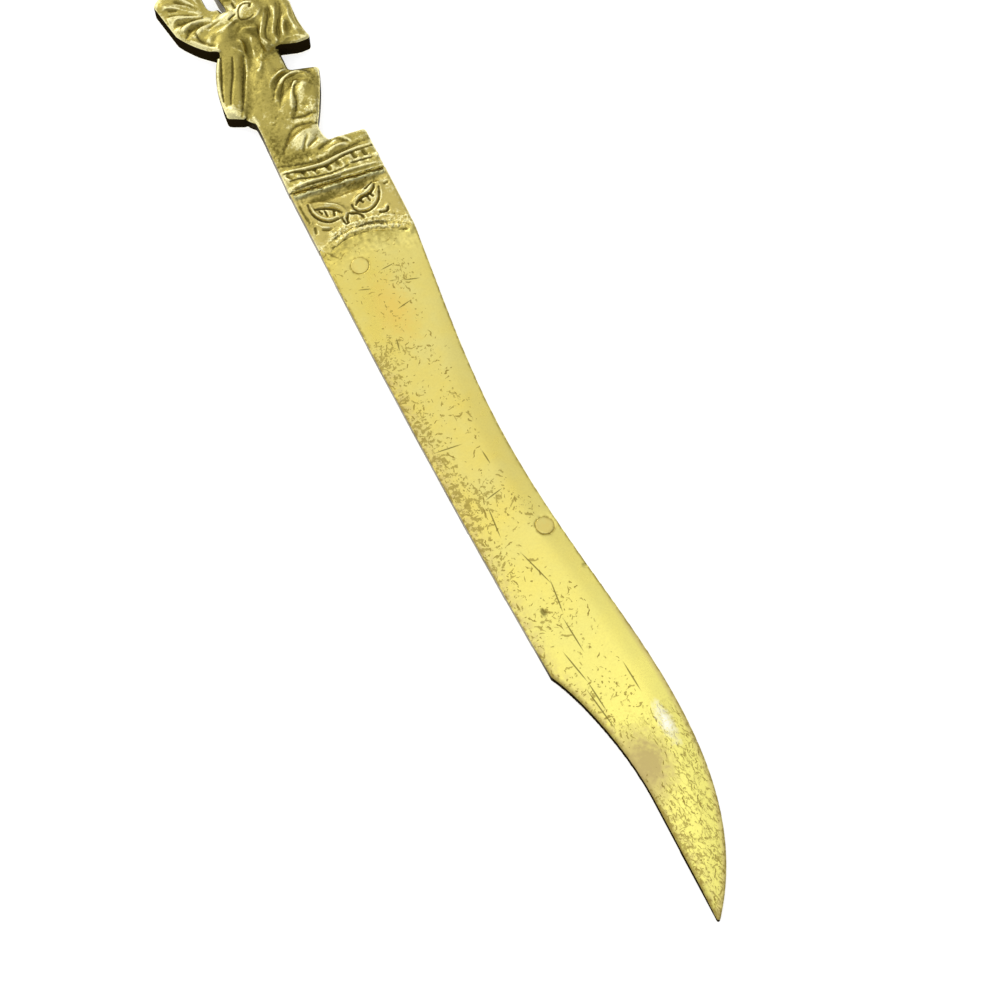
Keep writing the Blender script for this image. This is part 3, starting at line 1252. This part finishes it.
def add_lamp(name, place, aim, size, power):
    """A square area lamp, in metres and watts."""
    bpy.ops.object.light_add(type="AREA", location=place)
    lamp = bpy.context.object
    lamp.name = name
    lamp.data.size = size
    lamp.data.energy = power
    lamp.rotation_euler = (Vector(aim) - Vector(place)).to_track_quat("-Z", "Y").to_euler()


make_figure()
make_block()
make_blade()
for plug_node in ("upper_plug", "lower_plug"):
    make_plug(plug_node)
make_seam()
make_bead()

# Floor: it glows where it is looked at, so it stays white without lighting the opener from below
bpy.ops.object.select_all(action="DESELECT")
bpy.ops.mesh.primitive_plane_add(size=FLOOR_SIZE, location=(0, 0, -FLOOR_DROP))
floor = bpy.context.object
floor.name = "floor"
floor_paint, tree, shader, _ = new_paint("floor_paint")
shader.inputs["Metallic"].default_value = 0
shader.inputs["Base Color"].default_value = (*FLOOR_GREY, 1)
shader.inputs["Roughness"].default_value = FLOOR_ROUGHNESS
shader.inputs["Specular IOR Level"].default_value = 0
ray = add_node(tree, "ShaderNodeLightPath").outputs
seen = larger(tree, ray["Is Camera Ray"], ray["Is Glossy Ray"])
seen = larger(tree, seen, ray["Is Transmission Ray"])
glow = add_node(tree, "ShaderNodeEmission", {"Strength": times(tree, seen, FLOOR_GLOW)})
both = add_node(tree, "ShaderNodeAddShader", {0: shader.outputs[0], 1: glow.outputs[0]})
tree.links.new(both.outputs[0], tree.nodes["Material Output"].inputs["Surface"])
floor.data.materials.append(floor_paint)

# Light: a white room, brighter on the head's and the spine's side, a large softbox above and a small lamp
world = bpy.data.worlds.new("studio")
bpy.context.scene.world = world
world.use_nodes = True
tree = world.node_tree
room = tree.nodes["Background"]
direction = add_node(tree, "ShaderNodeTexCoord").outputs["Generated"]
towards = vectors(tree, "DOT_PRODUCT", direction, Vector(BRIGHT_SIDE).normalized())["Value"]
tree.links.new(span(tree, towards, *ROOM_TURN, *ROOM_LIGHT), room.inputs["Strength"])
room.inputs["Color"].default_value = (1, 1, 1, 1)

add_lamp("softbox", SOFTBOX_PLACE, (SOFTBOX_PLACE[0], SOFTBOX_PLACE[1], 0), SOFTBOX_SIZE, SOFTBOX_POWER)
add_lamp("glint_lamp", GLINT_PLACE, (0, 0, 0), GLINT_SIZE, GLINT_POWER)

bpy.ops.object.camera_add(location=Vector(CAMERA_PLACE) * MM)
camera = bpy.context.object
sight = Vector(CAMERA_AIM) - Vector(CAMERA_PLACE)
camera.rotation_euler = sight.to_track_quat("-Z", "Y").to_euler()
camera.data.lens = CAMERA_LENS
camera.data.sensor_width = CAMERA_SENSOR
camera.data.clip_start = CAMERA_NEAR * MM
bpy.context.scene.camera = camera
bpy.context.scene.view_settings.view_transform = "Standard"
